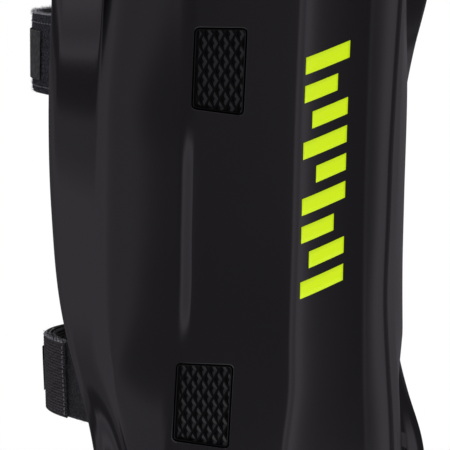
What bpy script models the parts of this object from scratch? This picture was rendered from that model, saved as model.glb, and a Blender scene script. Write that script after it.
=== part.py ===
"""Ski shin guard: a moulded shell with two inserts in its left flank and two straps round the calf.

Metres, +Z up. The guard stands on its level bottom rim, its front faces -Y, and the origin is the middle of
the base of the whole object. A depth is measured backwards from the front line at mid height. The left flank is
the one at -X.
"""

import math
from collections import namedtuple

import bmesh
import bpy
import numpy as np
from mathutils import Matrix, Vector

# Shell
HEIGHT = 0.430  # bottom rim to the top of the knee cup
HALF_WIDTH = 0.088  # middle plane to the widest point of the rear edge
DEPTH = 0.082  # front line to the rearmost point of the rear edge
WALL = 0.003
PANEL_CROWN = 0.0014  # how far the front panel stands out between its ridges
PANEL_FLAT = 0.75  # how far out the panel's bend is centred, from its middle to its ridge
RIDGE_CUT = 0.0012  # how far each rounding reaches from its corner
CREASE_CUT = 0.0035
VALLEY_CUT = 0.0030
TOP_DROP = 0.105  # the rear corners of the knee cup below its top
FOOT_ROUND = 0.014  # radius of the two rear corners of the bottom rim
BULGE_ALONG = 0.77  # where the flank's bulge is fullest, from crease to valley
ARCH_POWER = 2.4  # how square the arch of the knee cup is
FOOT_FROM = 0.88  # where the rear corners start, from the middle to the rear edge

# Windows and their inserts
WINDOW_SIDE = -1  # the left flank alone has windows
WINDOW_HEIGHT = 0.0335
WINDOW_FRONT = 0.49  # from the front ridge to the crease
WINDOW_REAR = 0.975
WINDOW_RISE = 0.0022  # how far the lower edge climbs towards the rear
WINDOW_CORNER = 0.0022
GAP = 0.0004  # clearance between pieces that touch
INSERT_RECESS = 0.0004  # rim of the insert below the skin of the shell
INSERT_RIM = 0.0013
INSERT_FLOOR = 0.0008  # floor of the insert below its rim
FLANGE = 0.0018  # how far the flange reaches past the window
FLANGE_GAP = 0.0008  # the flange behind the curved inside of the wall
FLANGE_THICK = 0.0015
POCKET_WIDE = 0.0041
POCKET_TALL = 0.0071
POCKET_DEEP = 0.0009
POCKET_WEB = 0.0007  # ridge between two pockets
POCKET_OVERSHOOT = 0.1  # how far a pocket's cutter stands above the floor, as a share of its depth

# Straps
STRAP_HEIGHT = 0.032
BAND_THICK = 0.0016
STRAP_START = 0.45  # from the front ridge to the crease
STRAP_BOW = 0.004  # how far the middle of the back run stands out
CREASE_BEND = 0.008  # how far each bend reaches from its corner
VALLEY_BEND = 0.012
BACK_BEND = 0.024

# One row for each section, from the bottom rim to the top. Levels are shares of HEIGHT, the columns that end
# in _x are shares of HALF_WIDTH, and front, the columns that end in _d and bulge are shares of DEPTH.
Section = namedtuple(
    "Section", "level front ridge_x crease_x crease_d valley_x valley_d edge_x edge_d bulge"
)
SECTIONS = [
    Section(0.000, -0.061, 0.295, 0.705, 0.402, 0.830, 0.595, 0.920, 0.730, -0.006),
    Section(0.070, 0.005, 0.267, 0.688, 0.412, 0.790, 0.545, 0.895, 0.620, -0.008),
    Section(0.140, 0.035, 0.244, 0.676, 0.418, 0.755, 0.530, 0.872, 0.535, -0.008),
    Section(0.198, 0.037, 0.227, 0.659, 0.417, 0.735, 0.580, 0.857, 0.556, 0.000),
    Section(0.244, 0.021, 0.215, 0.632, 0.402, 0.752, 0.656, 0.851, 0.676, 0.012),
    Section(0.295, 0.005, 0.193, 0.598, 0.387, 0.794, 0.696, 0.873, 0.817, 0.030),
    Section(0.349, 0.006, 0.189, 0.556, 0.359, 0.809, 0.717, 0.895, 0.928, 0.049),
    Section(0.449, -0.007, 0.182, 0.550, 0.330, 0.814, 0.716, 0.917, 0.989, 0.049),
    Section(0.551, -0.026, 0.181, 0.551, 0.309, 0.809, 0.700, 0.963, 0.885, 0.049),
    Section(0.653, -0.056, 0.178, 0.559, 0.287, 0.777, 0.701, 0.992, 0.733, 0.049),
    Section(0.744, -0.085, 0.177, 0.566, 0.268, 0.765, 0.671, 1.000, 0.670, 0.049),
    Section(0.837, -0.116, 0.182, 0.560, 0.244, 0.765, 0.616, 0.965, 0.640, 0.049),
    Section(0.930, -0.134, 0.193, 0.545, 0.207, 0.755, 0.560, 0.905, 0.600, 0.049),
    Section(1.000, -0.137, 0.205, 0.530, 0.177, 0.740, 0.510, 0.860, 0.560, 0.049),
]

# Levels are shares of HEIGHT, side_x of HALF_WIDTH and back_d of DEPTH.
Strap = namedtuple("Strap", "name level side_x back_d")
STRAPS = [
    Strap("upper", 0.588, 0.826, 1.537),
    Strap("lower", 0.282, 0.841, 1.378),
]

# Layers on the outer face of a band, from the inside outwards. Start and end are shares of the way along the
# band from its left end to the middle of its back run, and tall is a share of STRAP_HEIGHT.
Layer = namedtuple("Layer", "name strap start end thick tall rise material")
LAYERS = [
    Layer("upper_strap_tape", "upper", 0.38, 0.86, 0.0012, 1.00, 0.00, "loop_tape"),
    Layer("upper_strap_tab", "upper", 0.55, 0.72, 0.0014, 0.62, -0.02, "tab_plastic"),
    Layer("lower_strap_tape", "lower", 0.38, 0.62, 0.0012, 1.00, 0.00, "loop_tape"),
    Layer("lower_strap_overlap", "lower", 0.47, 0.93, 0.0016, 1.00, 0.00, "webbing"),
    Layer("lower_strap_tab", "lower", 0.57, 0.70, 0.0012, 0.60, 0.00, "tab_plastic"),
]

ROWS = 27
LEVEL_STEPS_IN_BAND = 3
STATION_GAP = 0.004  # least share of a strap's way between a band's end and its next station
CUTTER_REACH = 0.004

# Base colour and roughness of each material
FINISHES = {
    "shell_plastic": ((0.011, 0.010, 0.012), 0.34),
    "insert_rubber": ((0.004, 0.004, 0.005), 0.55),
    "webbing": ((0.020, 0.020, 0.022), 0.90),
    "loop_tape": ((0.014, 0.015, 0.018), 0.95),
    "tab_plastic": ((0.050, 0.052, 0.055), 0.60),
}


def clear_scene():
    for old in list(bpy.data.objects):
        bpy.data.objects.remove(old, do_unlink=True)


def make_collection(name):
    made = bpy.data.collections.new(name)
    bpy.context.scene.collection.children.link(made)
    return made


def make_material(name):
    colour, roughness = FINISHES[name]
    made = bpy.data.materials.new(name)
    made.use_nodes = True
    shader = made.node_tree.nodes["Principled BSDF"]
    shader.inputs["Base Color"].default_value = (*colour, 1.0)
    shader.inputs["Roughness"].default_value = roughness
    shader.inputs["Metallic"].default_value = 0.0
    return made


def make_object(name, mesh, collection, material=None):
    made = bpy.data.objects.new(name, mesh)
    collection.objects.link(made)
    if material:
        mesh.materials.append(material)
    return made


def mesh_from(name, points, faces):
    mesh = bpy.data.meshes.new(name)
    mesh.from_pydata([tuple(p) for p in points], [], faces)
    mesh.validate()
    return mesh


def table_value(column, level):
    """One column of the section table at a level, on a smooth curve through its rows."""
    levels = np.array([row.level for row in SECTIONS])
    values = np.array([getattr(row, column) for row in SECTIONS])
    slopes = np.gradient(values, levels)
    i = int(np.clip(np.searchsorted(levels, level) - 1, 0, len(levels) - 2))
    span = levels[i + 1] - levels[i]
    t = (level - levels[i]) / span
    return (
        (1 + 2 * t) * (1 - t) ** 2 * values[i]
        + t * (1 - t) ** 2 * span * slopes[i]
        + t * t * (3 - 2 * t) * values[i + 1]
        - t * t * (1 - t) * span * slopes[i + 1]
    )


def corners(level):
    """The corners of one half section as (x, depth): middle, ridge, crease, bulge, valley and edge."""
    front = table_value("front", level) * DEPTH
    ridge = np.array([table_value("ridge_x", level) * HALF_WIDTH, front])
    crease = np.array(
        [table_value("crease_x", level) * HALF_WIDTH, table_value("crease_d", level) * DEPTH]
    )
    valley = np.array(
        [table_value("valley_x", level) * HALF_WIDTH, table_value("valley_d", level) * DEPTH]
    )
    edge = np.array([table_value("edge_x", level) * HALF_WIDTH, table_value("edge_d", level) * DEPTH])
    along = valley - crease
    outward = np.array([along[1], -along[0]]) / np.linalg.norm(along)
    bulge = crease + BULGE_ALONG * along + table_value("bulge", level) * DEPTH * outward
    middle = np.array([0.0, front - PANEL_CROWN])
    return middle, ridge, crease, bulge, valley, edge


def towards(start, end, distance):
    return start + (end - start) * distance / np.linalg.norm(end - start)


def bend(start, control, end, count):
    """Points along a smooth bend, both ends included."""
    return [
        (1 - t) ** 2 * start + 2 * t * (1 - t) * control + t * t * end
        for t in np.linspace(0, 1, count)
    ]


def outer_section(level):
    """The outer skin of one half section, from the middle plane to the rear edge."""
    middle, ridge, crease, bulge, valley, edge = corners(level)
    panel_bend = np.array([ridge[0] * PANEL_FLAT, middle[1]])
    ridge_in = towards(ridge, panel_bend, RIDGE_CUT)
    ridge_out = towards(ridge, crease, RIDGE_CUT)
    crease_in = towards(crease, ridge, CREASE_CUT)
    crease_out = towards(crease, bulge, CREASE_CUT)
    valley_in = towards(valley, bulge, VALLEY_CUT)
    valley_out = towards(valley, edge, VALLEY_CUT)
    points = bend(middle, panel_bend, ridge_in, 6)
    points += bend(ridge_in, ridge, ridge_out, 3)[1:]
    points += bend(ridge_out, (ridge_out + crease_in) / 2, crease_in, 4)[1:]
    points += bend(crease_in, crease, crease_out, 3)[1:]
    points += bend(crease_out, bulge, valley_in, 7)[1:]
    points += bend(valley_in, valley, valley_out, 3)[1:]
    points += bend(valley_out, (valley_out + edge) / 2, edge, 4)[1:]
    return np.array(points)


def offset_path(path, distance):
    """An open path of (x, depth) moved sideways, to the outside where the distance is above 0."""
    steps = np.gradient(path, axis=0)
    steps /= np.linalg.norm(steps, axis=1)[:, None]
    outward = np.stack([steps[:, 1], -steps[:, 0]], axis=1)
    return path + distance * outward


def inner_section(level):
    inner = offset_path(outer_section(level), -WALL)
    inner[0] = outer_section(level)[0] + (0.0, WALL)
    return inner


def column_shares():
    """How far each column of the shell lies from the middle plane to the rear edge, as a share."""
    path = outer_section(0.5)
    lengths = np.concatenate([[0], np.cumsum(np.linalg.norm(np.diff(path, axis=0), axis=1))])
    return lengths / lengths[-1]


def top_height(share):
    """The arched top of the knee cup, above a column."""
    return HEIGHT - TOP_DROP * (1 - math.sqrt(max(0.0, 1 - share**ARCH_POWER)))


def foot_height(share):
    """The bottom rim below a column: level, with the rear corner rounded."""
    turn = max(0.0, (share - FOOT_FROM) / (1 - FOOT_FROM))
    return FOOT_ROUND * (1 - math.sqrt(1 - turn * turn))


def shell_half():
    """The right half of the shell, open at the middle plane."""
    shares = column_shares()
    columns = len(shares)
    points = []
    for row in range(ROWS):
        outer, inner = [], []
        for column, share in enumerate(shares):
            low, high = foot_height(share), top_height(share)
            z = low + (high - low) * row / (ROWS - 1)
            out_x, out_d = outer_section(z / HEIGHT)[column]
            in_x, in_d = inner_section(z / HEIGHT)[column]
            outer.append((out_x, out_d, z))
            inner.append((in_x, in_d, z))
        points += outer + inner[::-1]
    ring = 2 * columns
    faces = []
    for row in range(ROWS - 1):
        for i in range(ring - 1):
            a = row * ring + i
            faces.append((a, a + 1, a + ring + 1, a + ring))
    top = (ROWS - 1) * ring
    for i in range(columns - 1):
        faces.append((i + 1, i, ring - 1 - i, ring - 2 - i))
        faces.append((top + i, top + i + 1, top + ring - 2 - i, top + ring - 1 - i))
    return mesh_from("shell", points, faces)


def facet_point(share, level, side):
    """A point of the flank facet, from the front ridge at 0 to the crease at 1."""
    _, ridge, crease, _, _, _ = corners(level)
    x, depth = ridge + (crease - ridge) * share
    return Vector((side * x, depth, level * HEIGHT))


def window_frame(level, side):
    """The frame of a window: x to the right hand along the facet, z out of it, origin at its middle."""
    middle_share = (WINDOW_FRONT + WINDOW_REAR) / 2
    half = WINDOW_HEIGHT / 2 / HEIGHT
    origin = facet_point(middle_share, level, side)
    rearward = (facet_point(1, level, side) - facet_point(0, level, side)).normalized()
    climb = facet_point(middle_share, level + half, side) - facet_point(middle_share, level - half, side)
    across = rearward * side
    up = (climb - climb.dot(across) * across).normalized()
    frame = Matrix((across, up, across.cross(up))).transposed().to_4x4()
    frame.translation = origin
    return frame


def rounded(points, radius, steps=3):
    """A closed outline with its corners rounded."""
    made = []
    for i, corner in enumerate(points):
        before, after = np.array(points[i - 1]), np.array(points[(i + 1) % len(points)])
        corner = np.array(corner)
        made += bend(towards(corner, before, radius), corner, towards(corner, after, radius), steps)
    return made


def window_outline(level, side, grow=0.0):
    """The window's outline in its own frame, or one that is larger all round by grow."""
    wide = (WINDOW_REAR - WINDOW_FRONT) * (facet_point(1, level, 1) - facet_point(0, level, 1)).length
    half_wide = wide / 2 + grow
    half_tall = WINDOW_HEIGHT / 2 + grow
    points = [
        (-side * half_wide, -half_tall),
        (side * half_wide, -half_tall + WINDOW_RISE),
        (side * half_wide, half_tall),
        (-side * half_wide, half_tall),
    ]
    return rounded(points, max(WINDOW_CORNER + grow, WINDOW_CORNER / 2))


def slab(name, outline, low, high):
    """A flat outline made solid between two heights in its own frame."""
    curve = bpy.data.curves.new(name, "CURVE")
    curve.dimensions = "2D"
    curve.fill_mode = "BOTH"
    curve.extrude = (high - low) / 2
    spline = curve.splines.new("POLY")
    spline.points.add(len(outline) - 1)
    for point, (x, y) in zip(spline.points, outline):
        point.co = (x, y, 0.0, 1.0)
    spline.use_cyclic_u = True
    holder = bpy.data.objects.new(name, curve)
    bpy.context.scene.collection.objects.link(holder)
    depsgraph = bpy.context.evaluated_depsgraph_get()
    mesh = bpy.data.meshes.new_from_object(holder.evaluated_get(depsgraph))
    bpy.data.objects.remove(holder, do_unlink=True)
    bpy.data.curves.remove(curve)
    mesh.transform(Matrix.Translation((0, 0, (low + high) / 2)))
    mesh.name = name
    weld(mesh)
    return mesh


def weld(mesh):
    """Joins a mesh's loose caps to its sides and turns its faces outwards."""
    work = bmesh.new()
    work.from_mesh(mesh)
    bmesh.ops.remove_doubles(work, verts=work.verts, dist=0.00001)
    bmesh.ops.recalc_face_normals(work, faces=work.faces)
    work.to_mesh(mesh)
    work.free()


def make_cutter(name, mesh, frame, collection):
    made = make_object(name, mesh, collection)
    made.matrix_world = frame
    made.hide_render = True
    made.display_type = "WIRE"
    return made


def apply_boolean(target, other, operation):
    made = target.modifiers.new(f"{operation.lower()}_{other.name}", "BOOLEAN")
    made.operation = operation
    made.solver = "EXACT"
    made.object = other


def pocket_mesh(name, level, side, surface):
    """Rhombic pyramids, point down, that stand in staggered rows on the floor of an insert."""
    outline = window_outline(level, side, -GAP - INSERT_RIM)
    half_wide = max(x for x, _ in outline)
    half_tall = max(y for _, y in outline)
    work = bmesh.new()
    shape = (1 - POCKET_WEB / POCKET_WIDE, 1 - POCKET_WEB / POCKET_TALL)
    tall = POCKET_DEEP * (1 + POCKET_OVERSHOOT)
    reach_x = int(half_wide / POCKET_WIDE * 2) + 1
    reach_y = int(half_tall / POCKET_TALL * 2) + 1
    for column in range(-reach_x, reach_x + 1):
        for row in range(-reach_y, reach_y + 1):
            x, y = column * POCKET_WIDE / 2, row * POCKET_TALL / 2
            floor_low = -half_tall + WINDOW_RISE * (side * x + half_wide) / (2 * half_wide)
            fits = (
                abs(x) + POCKET_WIDE / 2 < half_wide
                and y + POCKET_TALL / 2 < half_tall
                and y - POCKET_TALL / 2 > floor_low
            )
            if (column + row) % 2 or not fits:
                continue
            place = Matrix.Translation((x, y, surface - POCKET_DEEP + tall / 2)) @ Matrix.Diagonal(
                (POCKET_WIDE * shape[0], POCKET_TALL * shape[1], 1, 1)
            )
            bmesh.ops.create_cone(
                work,
                cap_ends=True,
                segments=4,
                radius1=0.0,
                radius2=tall / POCKET_DEEP / 2,
                depth=tall,
                matrix=place,
            )
    bmesh.ops.recalc_face_normals(work, faces=work.faces)
    mesh = bpy.data.meshes.new(name)
    work.to_mesh(mesh)
    work.free()
    return mesh


def build_insert(name, level, side, shell, parts, cutters, material):
    """One window in the shell and the insert that is seated in it from inside."""
    frame = window_frame(level, side)
    window = slab(name + "_window", window_outline(level, side), -WALL - CUTTER_REACH, CUTTER_REACH)
    apply_boolean(shell, make_cutter(name + "_window", window, frame, cutters), "DIFFERENCE")
    rim_top = -INSERT_RECESS
    flange_top = -WALL - FLANGE_GAP
    flange_low = flange_top - FLANGE_THICK
    floor = rim_top - INSERT_FLOOR
    flange = slab(name, window_outline(level, side, FLANGE), flange_low, flange_top)
    body = slab(
        name + "_body", window_outline(level, side, -GAP), (flange_low + flange_top) / 2, rim_top
    )
    well = slab(
        name + "_well", window_outline(level, side, -GAP - INSERT_RIM), floor, CUTTER_REACH
    )
    pockets = pocket_mesh(name + "_pockets", level, side, floor)
    made = make_object(name, flange, parts, material)
    made.matrix_world = frame
    apply_boolean(made, make_cutter(name + "_body", body, frame, cutters), "UNION")
    apply_boolean(made, make_cutter(name + "_well", well, frame, cutters), "DIFFERENCE")
    apply_boolean(made, make_cutter(name + "_pockets", pockets, frame, cutters), "DIFFERENCE")
    return made


def band_inset():
    """From the outer skin of the shell to the middle of a band, behind the flange of an insert."""
    return WALL + FLANGE_GAP + FLANGE_THICK + GAP + BAND_THICK / 2


def half_route(strap, level):
    """One half of a strap's way at a level, from its end behind the insert to the middle of its back run."""
    _, ridge, crease, _, valley, _ = corners(level)
    facet = (crease - ridge) / np.linalg.norm(crease - ridge)
    flank = (valley - crease) / np.linalg.norm(valley - crease)
    facet_in = np.array([-facet[1], facet[0]]) * band_inset()
    flank_in = np.array([-flank[1], flank[0]]) * band_inset()
    end = ridge + (crease - ridge) * STRAP_START + facet_in
    at_crease = crease + facet_in
    at_valley = valley + flank_in
    at_back = np.array([strap.side_x * HALF_WIDTH, strap.back_d * DEPTH])
    middle = np.array([0.0, strap.back_d * DEPTH + STRAP_BOW])
    turns = [(end, at_crease, at_valley, CREASE_BEND), (at_crease, at_valley, at_back, VALLEY_BEND)]
    points = [end]
    for before, corner, after, reach in turns:
        points += bend(towards(corner, before, reach), corner, towards(corner, after, reach), 5)
    back_in, back_out = towards(at_back, at_valley, BACK_BEND), towards(at_back, middle, BACK_BEND)
    points += bend(back_in, at_back, back_out, 9)
    points += bend(back_out, np.array([back_out[0] / 2, middle[1]]), middle, 4)[1:]
    return np.array(points)


def strap_route(strap, level):
    """A strap's whole way at a level, as (x, depth), from its left end round the calf to its right end."""
    right = half_route(strap, level)
    left = right * (-1, 1)
    return np.concatenate([left, right[::-1][1:]])


def path_shares(path):
    lengths = np.concatenate([[0], np.cumsum(np.linalg.norm(np.diff(path, axis=0), axis=1))])
    return lengths / lengths[-1]


def band(name, strap, start, end, thick, tall, rise, offset, collection, material):
    """A flat strip along a strap's way, standing on edge. Start and end are shares of the whole way."""
    middle = strap.level * HEIGHT + rise * STRAP_HEIGHT
    shares = path_shares(strap_route(strap, middle / HEIGHT))
    inside = [s for s in shares if start + STATION_GAP < s < end - STATION_GAP]
    stations = [start, *inside, end]
    points, count = [], len(stations)
    for z in np.linspace(middle - tall / 2, middle + tall / 2, LEVEL_STEPS_IN_BAND):
        path = strap_route(strap, z / HEIGHT)
        moved = offset_path(path, -offset)
        along = path_shares(path)
        x = np.interp(stations, along, moved[:, 0])
        depth = np.interp(stations, along, moved[:, 1])
        points += [(x[i], depth[i], z) for i in range(count)]
    faces = [
        (row * count + i, row * count + i + 1, (row + 1) * count + i + 1, (row + 1) * count + i)
        for row in range(LEVEL_STEPS_IN_BAND - 1)
        for i in range(count - 1)
    ]
    made = make_object(name, mesh_from(name, points, faces), collection, material)
    solidify = made.modifiers.new("thickness", "SOLIDIFY")
    solidify.thickness = thick
    solidify.offset = 0.0
    solidify.use_even_offset = True
    return made


def build_straps(parts, materials):
    for strap in STRAPS:
        band(
            f"{strap.name}_strap", strap, 0.0, 1.0, BAND_THICK, STRAP_HEIGHT, 0.0, 0.0,
            parts, materials["webbing"],
        )
        outside = BAND_THICK / 2
        for layer in LAYERS:
            if layer.strap != strap.name:
                continue
            offset = outside + GAP + layer.thick / 2
            band(
                layer.name, strap, layer.start / 2, layer.end / 2, layer.thick,
                layer.tall * STRAP_HEIGHT, layer.rise, offset, parts, materials[layer.material],
            )
            outside = offset + layer.thick / 2


def shade(made):
    """Round pieces are shaded smooth, and their edges stay sharp."""
    made.data.shade_smooth()
    made.data.set_sharp_from_angle(angle=math.radians(30))


def put_on_origin(collection):
    """Moves the whole guard backwards or forwards so that the origin is the middle of its base."""
    depsgraph = bpy.context.evaluated_depsgraph_get()
    depths = [
        (made.matrix_world @ vertex.co).y
        for made in collection.objects
        for vertex in made.evaluated_get(depsgraph).data.vertices
    ]
    place = bpy.data.objects.new("placed_on_origin", None)
    collection.objects.link(place)
    place.location.y = -(min(depths) + max(depths)) / 2
    return place


def main():
    clear_scene()
    parts = make_collection("ski_shin_guard")
    cutters = make_collection("cutters")
    materials = {name: make_material(name) for name in FINISHES}
    shell = make_object("shell", shell_half(), parts, materials["shell_plastic"])
    weld(shell.data)
    shade(shell)
    mirror = shell.modifiers.new("other_half", "MIRROR")
    mirror.use_axis = (True, False, False)
    mirror.merge_threshold = 0.0001
    for strap in STRAPS:
        name = f"{strap.name}_insert"
        build_insert(
            name, strap.level, WINDOW_SIDE, shell, parts, cutters, materials["insert_rubber"]
        )
    build_straps(parts, materials)
    bpy.context.view_layer.update()
    place = put_on_origin(parts)
    for made in [*parts.objects, *cutters.objects]:
        if made is not place:
            made.parent = place
    bpy.context.view_layer.update()


main()
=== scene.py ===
"""The looks of the ski shin guard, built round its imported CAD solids.

Metres, +Z up, and the front of the guard faces -Y. A depth is measured backwards from the front line at mid
height, and the left side is the one at -X.
"""

import math
from collections import namedtuple

import bmesh
import bpy
import numpy as np
from mathutils import Matrix, Vector


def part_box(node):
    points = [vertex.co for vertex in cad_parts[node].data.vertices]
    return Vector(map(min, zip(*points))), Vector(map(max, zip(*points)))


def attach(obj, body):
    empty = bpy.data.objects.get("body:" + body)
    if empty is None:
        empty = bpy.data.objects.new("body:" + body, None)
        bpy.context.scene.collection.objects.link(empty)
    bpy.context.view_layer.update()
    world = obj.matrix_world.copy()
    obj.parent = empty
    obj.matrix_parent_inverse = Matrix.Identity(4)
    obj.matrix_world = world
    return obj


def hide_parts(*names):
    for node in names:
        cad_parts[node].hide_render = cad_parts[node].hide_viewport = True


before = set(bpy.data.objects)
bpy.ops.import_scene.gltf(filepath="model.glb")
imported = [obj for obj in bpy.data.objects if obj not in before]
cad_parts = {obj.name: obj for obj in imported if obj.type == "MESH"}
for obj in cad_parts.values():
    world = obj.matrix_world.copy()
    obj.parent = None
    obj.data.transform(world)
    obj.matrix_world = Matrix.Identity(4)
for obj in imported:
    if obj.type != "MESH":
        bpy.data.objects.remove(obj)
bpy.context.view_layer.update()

# Shell, as in the CAD
HEIGHT = 0.430
HALF_WIDTH = 0.088
DEPTH = 0.082
WALL = 0.003
PANEL_CROWN = 0.0014
PANEL_FLAT = 0.75  # how far out the panel's bend is centred, from its middle to its ridge
RIDGE_CUT = 0.0015
TOP_DROP = 0.105
FOOT_ROUND = 0.014
BULGE_ALONG = 0.77
ARCH_POWER = 2.4
FOOT_FROM = 0.88
SHARE_LEVEL = 0.5  # the section whose lengths say where the arch and the foot's corners start

# Shell, finer than the CAD
RIDGE_SET = 0.0019  # how far the panel and its ridges lie behind the CAD's
STEP_CUT = 0.0005  # rounding of the foot of the step at the crease
STEP_TOP_CUT = 0.0015  # and of its top
STEP_BEFORE = 0.0012  # from the step's foot to the crease, on the left flank
STEP_BEHIND = 0.0026  # from the crease to the step's top
STEP_RISE = 0.0014
STEP_AFTER = 0.0040  # the straight stretch behind the step's top
STEP_ROOM = 0.012  # a flank shorter than this shrinks what lies behind its crease
STEP_LEVELS = (0.32, 0.38, 0.50, 0.56)  # the left step fades in and out here, clear of the windows
RIGHT_STEP_WIDE = 0.0026
RIGHT_STEP_RISE = 0.0008
RIGHT_STEP_LEVELS = (0.27, 0.50, 0.64)
RIGHT_STEP_SHARES = (0.66, 0.68, 0.77)  # where the step's foot lies on the right facet at each of them
RIGHT_BOW = 0.0011  # how far the right facet's bend is centred over it
CREASE_CUT = 0.0018
VALLEY_CUT_SHARP = 0.0010  # the valley line in the upper half
VALLEY_CUT_SOFT = 0.0100  # and where it runs out, near the foot
VALLEY_FADES = (0.40, 0.24)  # levels between which it softens
VALLEY_SHARE = 0.6  # the most of the rear band that its rounding takes
EDGE_STRIP = 0.0036  # the turned-in strip along the rear edge
EDGE_SET = 0.0028  # where the strip starts, before the CAD's edge line
EDGE_TURN = math.radians(16)
EDGE_BEND = 0.3  # share of the strip over which it turns in
EDGE_TIP = 0.0009  # how far the rounded end of the wall stands out
RIM_ROUND = 0.0012  # rounding of the top and bottom rims
ROWS = 128
RIM_ROWS = 4
TIP_STEPS = 7
STRETCH_COLUMNS = (20, 10, 12, 8, 8, 5, 30, 10, 12, 5)  # of each stretch of a half section, front to rear
LAST_WAY = len(STRETCH_COLUMNS) - 1e-6  # the rear end of a section, just inside its last stretch
WAY_STEP = 0.02  # how far to either side of a way its direction is taken
TABLE_STEPS = 400  # levels at which the foremost point is looked for
MEET = 0.000002  # points nearer than this are joined
SHELL_SHARP = math.radians(28)

# Windows
WINDOW_SIDE = -1
WINDOW_HEIGHT = 0.0335
WINDOW_FRONT = 0.49  # shares of the facet, from the front ridge to the crease
WINDOW_REAR = 0.975
WINDOW_RISE = 0.0022  # how much higher the rear end of its lower edge lies
WINDOW_CORNER = 0.0022
WINDOW_LEAN = 0.05  # how much nearer the front the window lies for each unit up
CORNER_STEPS = 8
CUTTER_REACH = 0.004
# Each height over the skin and how far the window has opened there, which rounds its outer edge
WINDOW_FLARE = [(-0.0003, 0.0), (-0.0002, 0.00003), (-0.0001, 0.0001), (0.0, 0.00025), (0.0008, 0.0014)]

# Inserts
INSERT_RECESS = 0.0004  # from the facet down to the top of the rim
INSERT_RIM = 0.0006
INSERT_FLOOR = 0.0008  # from the rim's top down to the field
INSERT_ROUND = 0.0003
INSERT_TURNS = np.radians([30, 60, 90])  # steps of the rim's rounding
INSERT_SHARP = math.radians(12)
FLANGE = 0.0018  # how far the flange reaches past the window, behind the wall
POCKET_WIDE = 0.0041
POCKET_TALL = 0.0071
POCKET_DEEP = 0.00045
POCKET_WEB = 0.0010  # ridge between two pits
POCKET_FLAT = 0.46  # share of a pit that its flat bottom takes
POCKET_LEAN = 0.34  # how far the bottom lies towards the rear, as a share of half the pit
PIT_LEAN_LEAST = 0.15  # least lean and rise of the normal of a pit wall that gets the painted sheen
PIT_RISE_LEAST = 0.50
POCKET_REACH = range(-12, 13)  # half pitches of the field each way from the middle

# Straps
ROUTE_LEVELS = 9
ROUTE_STATIONS = 600
ROUTE_REACH = 0.55  # how far from its middle a way is known, up and down, as a share of STRAP_HEIGHT
LAST_CELL = 1.001  # less than the number of rows or stations by this is just inside the last cell
STRAP_HEIGHT = 0.032
BAND_THICK = 0.0016
TAPE_THICK = 0.0012
TAB_THICK = 0.0006
GAP = 0.0004
FLANGE_GAP = 0.0008  # between the wall and an insert's flange
FLANGE_THICK = 0.0015
STRAP_START = 0.45  # share of the facet, from the front ridge to the crease
STRAP_BOW = 0.004  # how far the middle of the back run stands out
CREASE_BEND = 0.008
VALLEY_BEND = 0.012
BACK_BEND = 0.024
BEND_STEPS = 12
BACK_STEPS = 24
BAND_CORNER = 0.006  # how far from its end a tapered strip narrows
BAND_SHARP = math.radians(60)
COLUMNS_LEAST = 8  # of a band
ROWS_LEAST = 24
RIB_STEPS = 4
SIDE_ROUND = 0.6  # how far the rounding of a long edge reaches in, as a share of the thickness
SIDE_THIN = 0.35  # share of the thickness that is left at a long edge
END_ROUND = 0.5
END_THIN = 0.5

# Levels are shares of HEIGHT, columns in _x of HALF_WIDTH, and front, bulge and columns in _d of DEPTH.
Section = namedtuple("Section", "level front ridge_x crease_x crease_d valley_x valley_d edge_x edge_d bulge")
SECTIONS = [Section(*row) for row in [
    (0.000, -0.061, 0.295, 0.705, 0.402, 0.830, 0.595, 0.920, 0.730, -0.006),
    (0.070, 0.005, 0.267, 0.688, 0.412, 0.790, 0.545, 0.895, 0.620, -0.008),
    (0.140, 0.035, 0.244, 0.676, 0.418, 0.755, 0.530, 0.872, 0.535, -0.008),
    (0.198, 0.037, 0.227, 0.659, 0.417, 0.735, 0.580, 0.857, 0.556, 0.000),
    (0.244, 0.021, 0.215, 0.632, 0.402, 0.752, 0.656, 0.851, 0.676, 0.012),
    (0.295, 0.005, 0.193, 0.598, 0.387, 0.794, 0.696, 0.873, 0.817, 0.030),
    (0.349, 0.006, 0.189, 0.556, 0.359, 0.809, 0.717, 0.895, 0.928, 0.049),
    (0.449, -0.007, 0.182, 0.550, 0.330, 0.814, 0.716, 0.917, 0.989, 0.049),
    (0.551, -0.026, 0.181, 0.551, 0.309, 0.809, 0.700, 0.963, 0.885, 0.049),
    (0.653, -0.056, 0.178, 0.559, 0.287, 0.777, 0.701, 0.992, 0.733, 0.049),
    (0.744, -0.085, 0.177, 0.566, 0.268, 0.765, 0.671, 1.000, 0.670, 0.049),
    (0.837, -0.116, 0.182, 0.560, 0.244, 0.765, 0.616, 0.965, 0.640, 0.049),
    (0.930, -0.134, 0.193, 0.545, 0.207, 0.755, 0.560, 0.905, 0.600, 0.049),
    (1.000, -0.137, 0.205, 0.530, 0.177, 0.740, 0.510, 0.860, 0.560, 0.049),
]]
LEVELS = np.array([row.level for row in SECTIONS])

Strap = namedtuple("Strap", "name level side_x back_d")
UPPER = Strap("upper", 0.588, 0.826, 1.537)
LOWER = Strap("lower", 0.282, 0.841, 1.378)

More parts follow.
